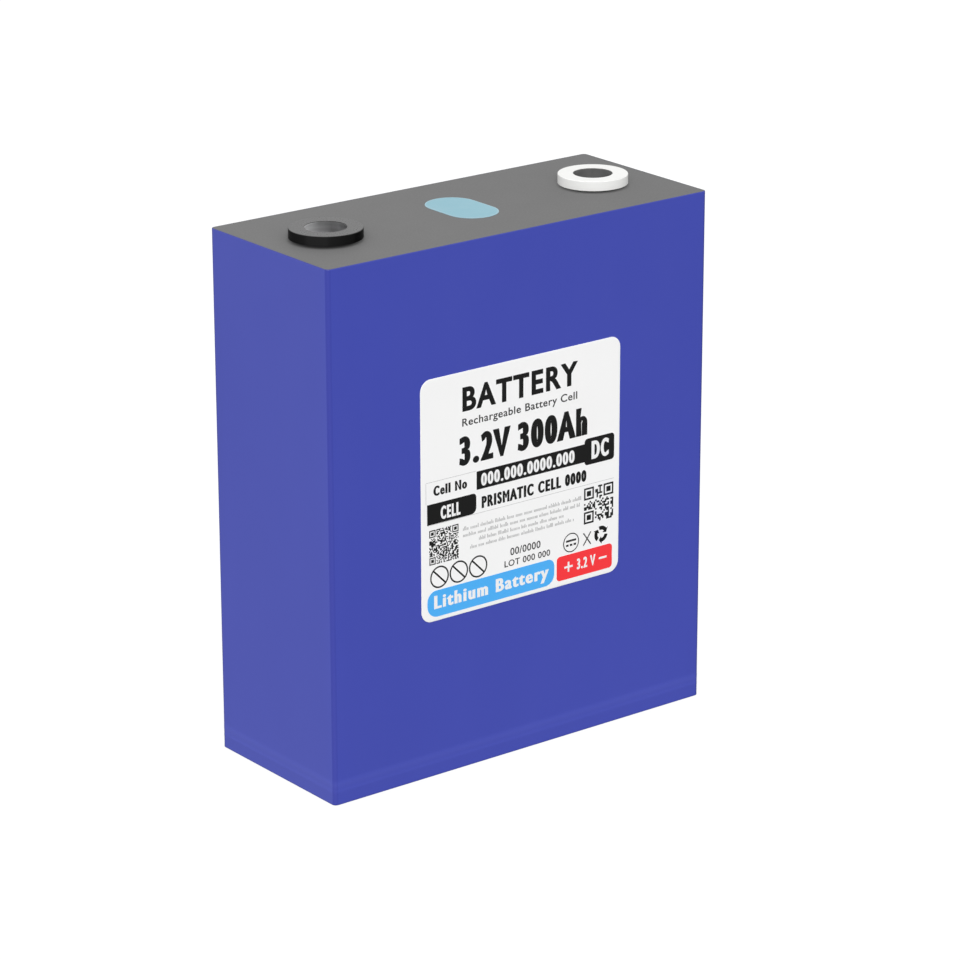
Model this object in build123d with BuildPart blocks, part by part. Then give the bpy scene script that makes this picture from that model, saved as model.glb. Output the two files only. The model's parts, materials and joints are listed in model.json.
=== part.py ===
from build123d import *
import os

# Prismatic lithium cell: a wrapped aluminium can with two threaded terminals in its lid.
# Millimetres. Origin at the centre of the underside, +Z up, X along the long side,
# the labelled face towards -Y, the negative terminal at -X and the positive one at +X.

# Outside sizes
cell_length = 174.0
cell_width = 71.7
corner_radius = 1.8
base_edge_radius = 0.3
cover_top = 201.5
terminal_x = 61.5

# Skins outside the can
cover_thickness = 0.3
wrap_thickness = 0.3
flap_thickness = 0.15
flap_width = 14.0
bottom_sheet_thickness = 0.15
bottom_sheet_inset = 1.5
tray_thickness = 0.15
tray_rim_top = 7.5
label_length = 92.7
label_height = 92.4
label_radius = 4.5
label_thickness = 0.15
label_x = -0.8
label_z = 107.2

# Can and lid
can_wall = 0.6
can_floor = 1.5
can_edge_radius = 0.5
lid_thickness = 3.0
lid_clearance = 0.05

# Terminals
negative_collar_radius = 13.5
positive_collar_radius = 13.2
collar_height = 3.6
collar_lip = 0.15
collar_edge_radius = 0.25
negative_well_radius = 7.7
positive_well_radius = 7.45
well_depth = 5.6
thread_radius = 2.5
thread_depth = 6.2
thread_lead_in = 0.5
post_radius = 9.5
flange_radius = 12.5
flange_thickness = 2.0
spigot_radius = 5.0
lid_hole_radius = 11.0
seal_flange_radius = 13.5
seal_flange_thickness = 1.0
fit_gap = 0.03

# Under the lid
insulator_thickness = 5.0
insulator_length = 72.0
insulator_centre_x = 48.5
insulator_width = 66.0
insulator_skirt = 1.2
insulator_skirt_depth = 3.0
collector_thickness = 1.5
post_pad_length = 32.0
post_pad_width = 30.0
tab_pad_length = 38.0
tab_pad_width = 52.0

# Vent, all stadiums with their long side along Y; the film is stuck on slightly off centre
vent_film_width = 19.8
vent_film_length = 31.8
vent_film_thickness = 0.15
vent_film_x = 0.35
vent_film_y = 1.0
vent_window_width = 15.8
vent_window_length = 27.8
vent_seat_width = 14.6
vent_seat_length = 26.6
vent_hole_width = 12.6
vent_hole_length = 24.6
vent_seat_depth = 1.6
vent_disc_thickness = 0.4
vent_score_width = 0.6
vent_score_depth = 0.25
vent_score_inset = 1.0
guard_thickness = 2.0
guard_slot_width = 1.6
guard_slot_spacing = 4.0
guard_slot_count = 6
guard_gap = 0.5
guard_margin = 5.0

# Fill port in the lid
port_x = 32.0
port_radius = 2.8
port_seat_radius = 4.5
port_seat_depth = 1.0
port_head_radius = 3.8
port_head_thickness = 0.8

# Wound cores
core_run = 136.0
core_half_turns = 8
core_eye = 0.3
core_tail = 8.0
anode_thickness = 1.35
cathode_thickness = 1.65
separator_thickness = 0.35
strip_gap = 0.02
core_spacing = 34.6
separator_height = 181.0
anode_overlap = 1.5
cathode_overlap = 2.5
support_thickness = 0.8
support_inset = 1.5
support_hole_radius = 2.0
support_hole_spacing = 12.0
bag_thickness = 0.15
bag_gap = 0.05
bag_top = 186.0
tape_thickness = 0.2
tape_gap = 0.05
tape_width = 20.0
tape_levels = (45.0, 140.0)

# Foil tabs
tab_width = 32.0
tab_centre_x = 37.0
tab_blade = 0.3
tab_rise = 1.0
tab_stack = 1.3
tab_stack_inner = 9.0
tab_stack_bend = 15.8
tab_stack_outer = 24.0
clamp_thickness = 0.5
clamp_length = 28.0
clamp_width = 7.0

# Levels worked out from the sizes above
lid_top = cover_top - cover_thickness
lid_bottom = lid_top - lid_thickness
can_length = cell_length - 2 * wrap_thickness
can_width = cell_width - 2 * wrap_thickness
can_radius = corner_radius - wrap_thickness
bottom_sheet_length = cell_length - 2 * bottom_sheet_inset
bottom_sheet_width = cell_width - 2 * bottom_sheet_inset
tray_bottom = bottom_sheet_thickness + flap_thickness
can_bottom = tray_bottom + tray_thickness
floor_top = can_bottom + can_floor
cavity_length = can_length - 2 * can_wall
cavity_width = can_width - 2 * can_wall
cavity_radius = can_radius - can_wall
collar_top = cover_top + collar_height
post_top = collar_top - collar_lip
well_floor = collar_top - well_depth
insulator_bottom = lid_bottom - insulator_thickness
flange_bottom = insulator_bottom - flange_thickness
collector_bottom = flange_bottom - collector_thickness
score_outer_width = vent_hole_width - 2 * vent_score_inset
score_outer_length = vent_hole_length - 2 * vent_score_inset
core_pitch = anode_thickness + cathode_thickness + 2 * separator_thickness
core_centre_y = core_spacing / 2 - core_pitch / 4
core_bottom = floor_top + bag_thickness + support_thickness
core_thickness = 2 * core_eye + (core_half_turns + 1) * core_pitch
core_end_radius = core_thickness / 2
core_length = core_run + 2 * core_end_radius - core_pitch / 2
bundle_width = core_spacing + core_thickness

# Side, place along X, collar radius and well radius
terminals = (
    ("negative", -terminal_x, negative_collar_radius, negative_well_radius),
    ("positive", terminal_x, positive_collar_radius, positive_well_radius),
)

os.makedirs("parts", exist_ok=True)


def save(piece, name):
    """Label a finished piece and write it as its own STEP file."""
    piece.part.label = name
    export_step(piece.part, f"parts/{name}.step")


def stadium(width, length, mode=Mode.ADD):
    """A round-ended slot outline with its long side along Y."""
    SlotOverall(length, width, rotation=90, mode=mode)


def frame_outline(length, width, radius, wall):
    """A rounded rectangle with a rounded rectangular hole."""
    RectangleRounded(length, width, radius)
    RectangleRounded(length - 2 * wall, width - 2 * wall, radius - wall, mode=Mode.SUBTRACT)


# ---------------------------------------------------------------- can and its skins

with BuildPart() as aluminium_can:
    with BuildSketch(Plane.XY.offset(can_bottom)):
        RectangleRounded(can_length, can_width, can_radius)
    extrude(amount=lid_top - can_bottom)
    fillet(aluminium_can.faces().sort_by(Axis.Z)[0].edges(), can_edge_radius)
    with BuildSketch(Plane.XY.offset(floor_top)):
        RectangleRounded(cavity_length, cavity_width, cavity_radius)
    extrude(amount=lid_top - floor_top, mode=Mode.SUBTRACT)
save(aluminium_can, "aluminium_can")

# The tray's upturned rim sits between the can and the thinner foot of the wrap.
with BuildPart() as bottom_insulator:
    with BuildSketch(Plane.XY.offset(tray_bottom)):
        RectangleRounded(
            cell_length - 2 * flap_thickness,
            cell_width - 2 * flap_thickness,
            corner_radius - flap_thickness,
        )
    extrude(amount=tray_rim_top - tray_bottom)
    offset(amount=-tray_thickness, openings=bottom_insulator.faces().sort_by(Axis.Z)[-1])
save(bottom_insulator, "bottom_insulator")

# The film wraps the four sides, flush with the top, and folds under the base on all edges.
# Its fold stands round the bottom sheet like a rim, level with the sheet's underside.
with BuildPart() as wrap_film:
    with BuildSketch():
        RectangleRounded(cell_length, cell_width, corner_radius)
    extrude(amount=cover_top)
    fillet(wrap_film.faces().sort_by(Axis.Z)[0].edges(), base_edge_radius)
    with BuildSketch():
        RectangleRounded(bottom_sheet_length, bottom_sheet_width, corner_radius)
    extrude(amount=bottom_sheet_thickness, mode=Mode.SUBTRACT)
    with BuildSketch():
        Rectangle(cell_length - 2 * flap_width, cell_width - 2 * flap_width)
    extrude(amount=tray_bottom, mode=Mode.SUBTRACT)
    with BuildSketch(Plane.XY.offset(tray_bottom)):
        RectangleRounded(
            cell_length - 2 * flap_thickness,
            cell_width - 2 * flap_thickness,
            corner_radius - flap_thickness,
        )
    extrude(amount=tray_rim_top - tray_bottom, mode=Mode.SUBTRACT)
    with BuildSketch(Plane.XY.offset(tray_rim_top)):
        RectangleRounded(can_length, can_width, can_radius)
    extrude(amount=cover_top - tray_rim_top, mode=Mode.SUBTRACT)
save(wrap_film, "wrap_film")

with BuildPart() as bottom_sheet:
    with BuildSketch():
        RectangleRounded(bottom_sheet_length, bottom_sheet_width, corner_radius)
    extrude(amount=bottom_sheet_thickness)
save(bottom_sheet, "bottom_sheet")

with BuildPart() as label_sticker:
    with BuildSketch(Plane.XZ.offset(cell_width / 2)):
        with Locations((label_x, label_z)):
            RectangleRounded(label_length, label_height, label_radius)
    extrude(amount=label_thickness)
save(label_sticker, "label_sticker")

# ---------------------------------------------------------------- lid and what lies on it

with BuildPart() as lid_plate:
    with BuildSketch(Plane.XY.offset(lid_bottom)):
        RectangleRounded(
            cavity_length - 2 * lid_clearance,
            cavity_width - 2 * lid_clearance,
            cavity_radius - lid_clearance,
        )
        with Locations((-terminal_x, 0), (terminal_x, 0)):
            Circle(lid_hole_radius, mode=Mode.SUBTRACT)
        with Locations((port_x, 0)):
            Circle(port_radius, mode=Mode.SUBTRACT)
        stadium(vent_hole_width, vent_hole_length, mode=Mode.SUBTRACT)
    extrude(amount=lid_thickness)
    with BuildSketch(Plane.XY.offset(lid_top)):
        stadium(vent_seat_width, vent_seat_length)
    extrude(amount=-vent_seat_depth, mode=Mode.SUBTRACT)
    with BuildSketch(Plane.XY.offset(lid_top)):
        with Locations((port_x, 0)):
            Circle(port_seat_radius)
    extrude(amount=-port_seat_depth, mode=Mode.SUBTRACT)
    with BuildSketch(Plane.XY.offset(lid_top - port_seat_depth)):
        with Locations((port_x, 0)):
            Circle(port_head_radius + fit_gap)
    extrude(amount=-port_head_thickness, mode=Mode.SUBTRACT)
save(lid_plate, "lid_plate")

with BuildPart() as top_cover_sheet:
    with BuildSketch(Plane.XY.offset(lid_top)):
        RectangleRounded(
            can_length - 2 * fit_gap,
            can_width - 2 * fit_gap,
            can_radius - fit_gap,
        )
        for _, side_x, collar_radius, _ in terminals:
            with Locations((side_x, 0)):
                Circle(collar_radius + fit_gap, mode=Mode.SUBTRACT)
        stadium(vent_window_width, vent_window_length, mode=Mode.SUBTRACT)
    extrude(amount=cover_thickness)
save(top_cover_sheet, "top_cover_sheet")

# The disc is thinned by a racetrack score line, where it tears when the pressure rises.
with BuildPart() as vent_disc:
    with BuildSketch(Plane.XY.offset(lid_top - vent_seat_depth)):
        stadium(vent_seat_width - 2 * fit_gap, vent_seat_length - 2 * fit_gap)
    extrude(amount=vent_disc_thickness)
    with BuildSketch(Plane.XY.offset(lid_top - vent_seat_depth + vent_disc_thickness)):
        stadium(score_outer_width, score_outer_length)
        stadium(
            score_outer_width - 2 * vent_score_width,
            score_outer_length - 2 * vent_score_width,
            mode=Mode.SUBTRACT,
        )
    extrude(amount=-vent_score_depth, mode=Mode.SUBTRACT)
save(vent_disc, "vent_disc")

with BuildPart() as vent_film:
    with BuildSketch(Plane((vent_film_x, vent_film_y, cover_top))):
        stadium(vent_film_width, vent_film_length)
    extrude(amount=vent_film_thickness)
    fillet(vent_film.faces().sort_by(Axis.Z)[-1].edges(), vent_film_thickness / 2)
save(vent_film, "vent_film")

# A slotted plate under the vent keeps the foils away from the disc.
with BuildPart() as vent_guard:
    with BuildSketch(Plane.XY.offset(lid_bottom)):
        RectangleRounded(
            2 * insulator_centre_x - insulator_length - 2 * guard_gap,
            vent_seat_length + 2 * guard_margin,
            corner_radius,
        )
        with GridLocations(0, guard_slot_spacing, 1, guard_slot_count):
            SlotOverall(vent_hole_width, guard_slot_width, mode=Mode.SUBTRACT)
    extrude(amount=-guard_thickness)
save(vent_guard, "vent_guard")

# A rubber plug with a flat head seals the port, and a welded aluminium disc covers it.
with BuildPart() as fill_port_plug:
    with BuildSketch(Plane.XY.offset(lid_top - port_seat_depth)):
        with Locations((port_x, 0)):
            Circle(port_head_radius)
    extrude(amount=-port_head_thickness)
    with BuildSketch(Plane.XY.offset(lid_bottom)):
        with Locations((port_x, 0)):
            Circle(port_radius - fit_gap)
    extrude(amount=lid_thickness - port_seat_depth - port_head_thickness)
save(fill_port_plug, "fill_port_plug")

with BuildPart() as fill_port_cap:
    with BuildSketch(Plane.XY.offset(lid_top - port_seat_depth)):
        with Locations((port_x, 0)):
            Circle(port_seat_radius - fit_gap)
    extrude(amount=port_seat_depth)
save(fill_port_cap, "fill_port_cap")

# ---------------------------------------------------------------- terminals


def terminal_collar(x, collar_radius, well_radius):
    """Coloured plastic ring round the post, with a thin lip over its rim."""
    with BuildPart() as collar:
        with BuildSketch(Plane((x, 0, lid_top))):
            Circle(collar_radius)
            Circle(post_radius + fit_gap, mode=Mode.SUBTRACT)
        extrude(amount=post_top - lid_top)
        with BuildSketch(Plane((x, 0, post_top))):
            Circle(collar_radius)
            Circle(well_radius, mode=Mode.SUBTRACT)
        extrude(amount=collar_lip)
        top_circles = collar.edges().filter_by(GeomType.CIRCLE).group_by(Axis.Z)[-1]
        fillet(top_circles.sort_by(SortBy.RADIUS)[-1], collar_edge_radius)
    return collar


def terminal_post(x, well_radius):
    """Cup-shaped post: a wide well, a threaded hole in its floor, a flange and a spigot."""
    with BuildPart() as post:
        with BuildSketch(Plane((x, 0, collector_bottom))):
            Circle(spigot_radius)
        extrude(amount=collector_thickness)
        with BuildSketch(Plane((x, 0, flange_bottom))):
            Circle(flange_radius)
        extrude(amount=flange_thickness)
        with BuildSketch(Plane((x, 0, insulator_bottom))):
            Circle(post_radius)
        extrude(amount=post_top - insulator_bottom)
        with Locations(Plane((x, 0, post_top))):
            CounterBoreHole(
                radius=thread_radius,
                counter_bore_radius=well_radius,
                counter_bore_depth=post_top - well_floor,
                depth=post_top - well_floor + thread_depth,
            )
        thread_mouth = (
            post.edges()
            .filter_by(GeomType.CIRCLE)
            .filter_by(lambda edge: abs(edge.radius - thread_radius) < fit_gap)
            .sort_by(Axis.Z)[-1]
        )
        chamfer(thread_mouth, thread_lead_in)
    return post


def terminal_seal(x):
    """Rubber sleeve between the post and the lid, with a flange under the lid."""
    with BuildPart() as seal:
        with BuildSketch(Plane((x, 0, lid_bottom))):
            Circle(lid_hole_radius - fit_gap)
            Circle(post_radius + fit_gap, mode=Mode.SUBTRACT)
        extrude(amount=lid_thickness)
        with BuildSketch(Plane((x, 0, lid_bottom))):
            Circle(seal_flange_radius)
            Circle(post_radius + fit_gap, mode=Mode.SUBTRACT)
        extrude(amount=-seal_flange_thickness)
    return seal


def lower_insulator(x, with_port):
    """Plastic plate under the lid with a skirt that holds the current collector."""
    centre_x = insulator_centre_x if with_port else -insulator_centre_x
    with BuildPart() as insulator:
        with BuildSketch(Plane((centre_x, 0, insulator_bottom))):
            RectangleRounded(insulator_length, insulator_width, 2 * corner_radius)
        extrude(amount=insulator_thickness)
        with BuildSketch(Plane((centre_x, 0, insulator_bottom))):
            frame_outline(insulator_length, insulator_width, 2 * corner_radius, insulator_skirt)
        extrude(amount=-insulator_skirt_depth)
        with Locations(Plane((x, 0, lid_bottom))):
            CounterBoreHole(
                radius=post_radius + fit_gap,
                counter_bore_radius=seal_flange_radius + fit_gap,
                counter_bore_depth=seal_flange_thickness,
            )
        if with_port:
            with Locations(Plane((port_x, 0, lid_bottom))):
                Hole(radius=2 * port_radius)
    return insulator


def current_collector(side_x):
    """Metal plate that joins both cores' foil tabs to the post's spigot."""
    direction = 1 if side_x > 0 else -1
    with BuildPart() as collector:
        with BuildSketch(Plane.XY.offset(collector_bottom)):
            with Locations((side_x, 0)):
                RectangleRounded(post_pad_length, post_pad_width, corner_radius)
            with Locations((direction * tab_centre_x, 0)):
                RectangleRounded(tab_pad_length, tab_pad_width, corner_radius)
        extrude(amount=collector_thickness)
        with Locations(Plane((side_x, 0, flange_bottom))):
            Hole(radius=spigot_radius + fit_gap)
    return collector


for side, side_x, collar_radius, well_radius in terminals:
    save(terminal_collar(side_x, collar_radius, well_radius), f"{side}_collar")
    save(terminal_post(side_x, well_radius), f"{side}_post")
    save(terminal_seal(side_x), f"{side}_seal_ring")
    save(lower_insulator(side_x, side == "positive"), f"{side}_lower_insulator")
    save(current_collector(side_x), f"{side}_collector")

# ---------------------------------------------------------------- wound cores


def wound_strip(inner, thickness, overlap, side_y):
    """One strip of a flat winding, made of straight runs joined by growing half circles.

    inner is the strip's distance from the front of the stack of four strips, overlap is how
    far it stops short of the separators' edges, and side_y is -1 for the front core.
    """
    winding_plane = Plane(
        origin=(core_pitch / 4, side_y * core_centre_y, core_bottom + overlap),
        x_dir=(1, 0, 0),
        z_dir=(0, 0, -side_y),
    )
    first_level = core_pitch / 4 - core_eye - inner
    last_level = first_level - core_half_turns * core_pitch / 2
    tail_x = core_run / 2 - core_tail
    with BuildPart() as strip:
        with BuildSketch(winding_plane):
            with BuildLine():
                for face in (inner + strip_gap, inner + thickness - strip_gap):
                    start_y = core_pitch / 4 - core_eye - face
                    Line((-core_run / 2, start_y), (core_run / 2, start_y))
                    for turn in range(core_half_turns):
                        end = 1 if turn % 2 == 0 else -1
                        radius = core_eye + turn * core_pitch / 2 + face
                        turn_x = end * core_run / 2
                        turn_y = end * core_pitch / 4
                        run_y = turn_y + end * radius
                        run_end_x = tail_x if turn == core_half_turns - 1 else -turn_x
                        ThreePointArc(
                            (turn_x, turn_y - end * radius),
                            (turn_x + end * radius, turn_y),
                            (turn_x, run_y),
                        )
                        Line((turn_x, run_y), (run_end_x, run_y))
                for level, end_x in ((first_level, -core_run / 2), (last_level, tail_x)):
                    Line((end_x, level - strip_gap), (end_x, level - thickness + strip_gap))
            make_face()
        extrude(amount=-side_y * (separator_height - 2 * overlap))
    return strip


def foil_tabs(centre_x, inner, thickness, overlap, side_y):
    """Blades standing on a strip's inner runs, gathered into one stack under the collector."""
    edge_z = core_bottom + separator_height - overlap
    gather_z = core_bottom + separator_height + tab_rise
    outer_blade = core_centre_y - core_pitch / 4 - core_eye - inner - thickness / 2
    blades = [outer_blade - turn * core_pitch for turn in range(core_half_turns // 2)]
    fan_inner = blades[-1] - tab_blade / 2
    fan_outer = blades[0] + tab_blade / 2
    with BuildPart() as tabs:
        with BuildSketch(Plane.YZ.offset(centre_x - tab_width / 2)):
            for blade in blades:
                with Locations((side_y * blade, (edge_z + gather_z) / 2)):
                    Rectangle(tab_blade, gather_z - edge_z)
            with BuildLine():
                Polyline(
                    (side_y * fan_inner, gather_z),
                    (side_y * fan_outer, gather_z),
                    (side_y * tab_stack_bend, collector_bottom - tab_stack),
                    (side_y * tab_stack_outer, collector_bottom - tab_stack),
                    (side_y * tab_stack_outer, collector_bottom),
                    (side_y * tab_stack_inner, collector_bottom),
                    close=True,
                )
            make_face()
        extrude(amount=tab_width)
    return tabs


def tab_clamps(centre_x):
    """The thin plates that press both cores' foil stacks to the collector while welding."""
    clamp_y = (tab_stack_bend + tab_stack_outer) / 2
    with BuildPart() as clamps:
        with BuildSketch(Plane.XY.offset(collector_bottom - tab_stack)):
            with Locations((centre_x, -clamp_y), (centre_x, clamp_y)):
                RectangleRounded(clamp_length, clamp_width, 1.0)
        extrude(amount=-clamp_thickness)
    return clamps


strips = {
    "anode": (0.0, anode_thickness, anode_overlap),
    "inner_separator": (anode_thickness, separator_thickness, 0.0),
    "cathode": (anode_thickness + separator_thickness, cathode_thickness, cathode_overlap),
    "outer_separator": (core_pitch - separator_thickness, separator_thickness, 0.0),
}

for core, side_y in (("front_core", -1), ("back_core", 1)):
    for strip_name, (inner, thickness, overlap) in strips.items():
        save(wound_strip(inner, thickness, overlap, side_y), f"{core}_{strip_name}")
    save(foil_tabs(-tab_centre_x, *strips["anode"], side_y), f"{core}_negative_tabs")
    save(foil_tabs(tab_centre_x, *strips["cathode"], side_y), f"{core}_positive_tabs")

save(tab_clamps(-tab_centre_x), "negative_tab_clamps")
save(tab_clamps(tab_centre_x), "positive_tab_clamps")

# ---------------------------------------------------------------- what holds the cores

with BuildPart() as insulation_bag:
    with BuildSketch(Plane.XY.offset(floor_top)):
        RectangleRounded(
            cavity_length - 2 * bag_gap,
            cavity_width - 2 * bag_gap,
            cavity_radius - bag_gap,
        )
    extrude(amount=bag_top - floor_top)
    offset(amount=-bag_thickness, openings=insulation_bag.faces().sort_by(Axis.Z)[-1])
save(insulation_bag, "insulation_bag")

with BuildPart() as core_support_plate:
    with BuildSketch(Plane.XY.offset(floor_top + bag_thickness)):
        RectangleRounded(
            cavity_length - 2 * support_inset,
            cavity_width - 2 * support_inset,
            corner_radius,
        )
        with GridLocations(support_hole_spacing, support_hole_spacing, 13, 5):
            Circle(support_hole_radius, mode=Mode.SUBTRACT)
    extrude(amount=support_thickness)
save(core_support_plate, "core_support_plate")

# Two bands of tape hold the cores side by side.
with BuildPart() as core_tapes:
    for level in tape_levels:
        with BuildSketch(Plane.XY.offset(level)):
            frame_outline(
                core_length + 2 * (tape_gap + tape_thickness),
                bundle_width + 2 * (tape_gap + tape_thickness),
                core_end_radius + tape_gap + tape_thickness,
                tape_thickness,
            )
        extrude(amount=tape_width)
save(core_tapes, "core_tapes")
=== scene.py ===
import json
import math
import random

import bmesh
import bpy
from mathutils import Matrix, Vector, noise
from mathutils.geometry import delaunay_2d_cdt, interpolate_bezier


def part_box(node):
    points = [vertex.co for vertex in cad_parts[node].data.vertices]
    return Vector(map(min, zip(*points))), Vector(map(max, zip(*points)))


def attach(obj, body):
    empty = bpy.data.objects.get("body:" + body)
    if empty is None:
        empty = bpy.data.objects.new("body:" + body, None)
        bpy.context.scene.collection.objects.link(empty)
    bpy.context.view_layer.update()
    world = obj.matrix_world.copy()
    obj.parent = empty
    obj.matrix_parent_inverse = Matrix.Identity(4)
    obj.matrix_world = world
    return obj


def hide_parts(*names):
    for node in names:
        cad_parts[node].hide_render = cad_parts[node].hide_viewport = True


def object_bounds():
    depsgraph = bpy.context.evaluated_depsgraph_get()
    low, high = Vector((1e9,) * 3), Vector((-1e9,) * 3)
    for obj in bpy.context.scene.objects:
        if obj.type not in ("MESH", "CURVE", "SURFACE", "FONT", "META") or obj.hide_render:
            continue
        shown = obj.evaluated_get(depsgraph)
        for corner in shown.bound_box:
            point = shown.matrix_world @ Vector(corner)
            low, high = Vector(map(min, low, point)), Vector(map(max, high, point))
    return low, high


# A large prismatic battery cell: looks for every CAD piece, finer shapes for the film, the vent
# film, the posts and the label, the label's generic print, and the camera, floor and light.

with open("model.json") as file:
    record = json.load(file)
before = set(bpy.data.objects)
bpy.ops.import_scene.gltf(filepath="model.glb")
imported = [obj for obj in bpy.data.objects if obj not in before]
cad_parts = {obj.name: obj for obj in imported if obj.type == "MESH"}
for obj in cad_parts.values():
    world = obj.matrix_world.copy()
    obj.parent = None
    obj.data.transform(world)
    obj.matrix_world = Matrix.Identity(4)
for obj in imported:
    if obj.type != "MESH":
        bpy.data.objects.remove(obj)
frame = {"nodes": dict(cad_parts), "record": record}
cad_low, cad_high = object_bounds()
cover_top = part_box("top_cover_sheet")[1].z

MM = 0.001

# The wrap film: its skin, how it lies over the bottom tray's rim, and its fold underneath
CORNER_RADIUS = 1.8 * MM
TIGHTEST_RADIUS = 0.05 * MM
FILM_SKIN = 0.3 * MM
FILM_FOOT_SKIN = 0.15 * MM
TRAY_RIM_TOP = 7.5 * MM
FILM_SLACK = 0.04 * MM
WAVE_HEIGHT = 0.8 * FILM_SLACK
WAVES_PER_METRE = 28.0
EDGE_MARGIN = 0.1 * MM
FOLD_RADIUS = 0.3 * MM
FLAP_WIDTH = 14.0 * MM
FLAP_UNDERSIDE = 0.15 * MM
FLAP_STEP = 1.5 * MM
SEAM_PLACE = 20.0 * MM
SEAM_WIDTH = 8.0 * MM
# The width of the seam's two slopes, as a share of half the cell's thickness
SEAM_SLOPE = 0.004
# Inset and height in millimetres, where the film bridges the tray's rim in two faint ridges
RIM_RIDGES = (
    (0.02, 1.2), (0.03, 4.2), (0.0, 4.6), (0.0, 5.3), (0.03, 5.7),
    (0.035, 7.1), (0.0, 7.6), (0.0, 8.6), (0.03, 9.2),
)
FLAT_FILM_START = 10.0 * MM

# The vent film: inset in millimetres and share of its thickness, from its foot to its middle
VENT_PROFILE = (
    (0.0, 0.0), (0.0, 0.5), (0.03, 0.80), (0.08, 0.95), (0.20, 1.0), (0.50, 1.0),
    (0.75, 0.93), (1.1, 0.82), (1.6, 0.80), (3.0, 0.82), (5.0, 0.85), (7.0, 0.88), (9.4, 0.90),
)
VENT_BORDER_ROWS = 5
VENT_BORDER_WIDTH = 1.0
VENT_PUCKER = 0.06
PUCKERS_PER_METRE = 260.0

# The terminal posts
NEGATIVE_WELL_RADIUS = 7.7 * MM
POSITIVE_WELL_RADIUS = 7.45 * MM
WELL_DEPTH = 5.45 * MM
WELL_FILLET = 0.6 * MM
POST_RADIUS = 9.5 * MM
POST_EDGE = 0.15 * MM
SPIGOT_RADIUS = 5.0 * MM
SPIGOT_HEIGHT = 1.5 * MM
FLANGE_THICKNESS = 2.0 * MM
# Radius and depth in millimetres of the shallow turned steps round the threaded hole
FLOOR_STEPS = ((5.6, 0.0), (5.5, 0.06), (4.4, 0.06), (4.3, 0.0), (3.35, 0.0))
# The cut thread's radii at its crests, its roots, its mouth and its closed end
THREAD_MINOR = 2.5 * MM
THREAD_MAJOR = 3.0 * MM
THREAD_MOUTH = 3.1 * MM
THREAD_END = 0.2 * MM
THREAD_PITCH = 1.0 * MM
THREAD_DEPTH = 6.2 * MM

# The label: the depth of its layers under its outer face, how far each ink reaches into what it
# is printed on, and how far the paper reaches into the film
LABEL_CORNER = 4.5 * MM
PAPER_FACE = 0.07 * MM
FIRST_INK_FACE = 0.035 * MM
INK_BITE = 0.01 * MM
PAPER_BITE = 0.03 * MM
# Corners of the print closer than this many millimetres are joined
INK_WELD = 0.002

# Lettering, in ems: the shortest edge kept, what counts as straight, as one place and as a triangle
# too thin to draw, how many steps a curve takes, and how far strokes grow across and upwards
SHORTEST_EDGE = 0.006
STRAIGHT_BULGE = 1e-4
SAME_PLACE = 1e-5
THINNEST_SLIVER = 1e-4
CURVE_STEPS = 7
PLAIN = (0.014, 0.012)
BOLD = (0.038, 0.030)
HEAVY = (0.064, 0.022)
BLACK = (0.095, 0.030)

# Painted light and shade on the film, by how far it faces along X: broad sides, tight corners, narrow sides
FILM_FACING_SHADE = (
    (0.06, (0.598, 0.673, 0.845)),
    (0.20, (0.510, 0.565, 0.750)),
    (0.36, (0.505, 0.555, 0.735)),
    (0.55, (0.560, 0.590, 0.745)),
    (0.90, (0.558, 0.590, 0.745)),
    (0.97, (0.640, 0.680, 0.815)),
    (0.997, (0.955, 0.990, 0.985)),
)
# Painted light on the ridges over the tray's rim: how much paler the film is, from the floor up to
# RIM_LIGHT_TOP
RIM_LIGHT_TOP = 11.2 * MM
RIM_PAINTED_LIGHT = (
    (0.15, 0.0), (0.28, 0.22), (0.40, 0.27), (0.49, 0.48), (0.57, 0.46),
    (0.67, 0.97), (0.71, 0.97), (0.77, 0.67), (0.83, 0.31), (0.90, 0.0),
)

# Light painted on the black collar's side: what is left of its colour, by how far it faces LIT_SIDE
LIT_SIDE = (-0.766, -0.643, 0.0)
LIT_SHARE = ((0.0, 0.12), (0.41, 0.20), (0.50, 0.40), (0.70, 0.48), (0.93, 0.65), (0.97, 0.95))

# The collars' soft shadows, painted on the cover: what is left of its colour from SHADE_START to
# SHADE_END past a collar whose middle is moved by SHADE_SHIFT, and what the painted shade leaves at its +X
# end
SHADE_SHIFT = (-2.46 * MM, -3.15 * MM)
SHADE_START = -4.0 * MM
SHADE_END = 0.6 * MM
COLLAR_SHADE = ((0.0, 0.10), (0.37, 0.19), (0.63, 0.46), (0.87, 0.83), (1.0, 1.0))
COVER_FAR_END_SHADE = 0.905

# Reflections painted on the posts: their tone and how metallic they are, by the angle round the post
BRIGHT_TONE = (
    (0.0, 0.70), (0.42, 0.56), (0.49, 0.36), (0.52, 0.31), (0.61, 0.29),
    (0.65, 0.35), (0.70, 0.53), (0.77, 0.73), (0.85, 0.78), (1.0, 0.70),
)
BRIGHT_METAL = ((0.0, 0.8), (0.394, 1.0), (0.70, 1.0), (0.84, 0.45), (0.93, 0.35), (1.0, 0.8))
DULL_TONE = ((0.0, 1.0), (0.394, 1.0), (0.644, 0.47), (0.894, 1.0), (1.0, 1.0))
DULL_METAL = ((0.0, 1.0), (1.0, 0.95))

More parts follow.
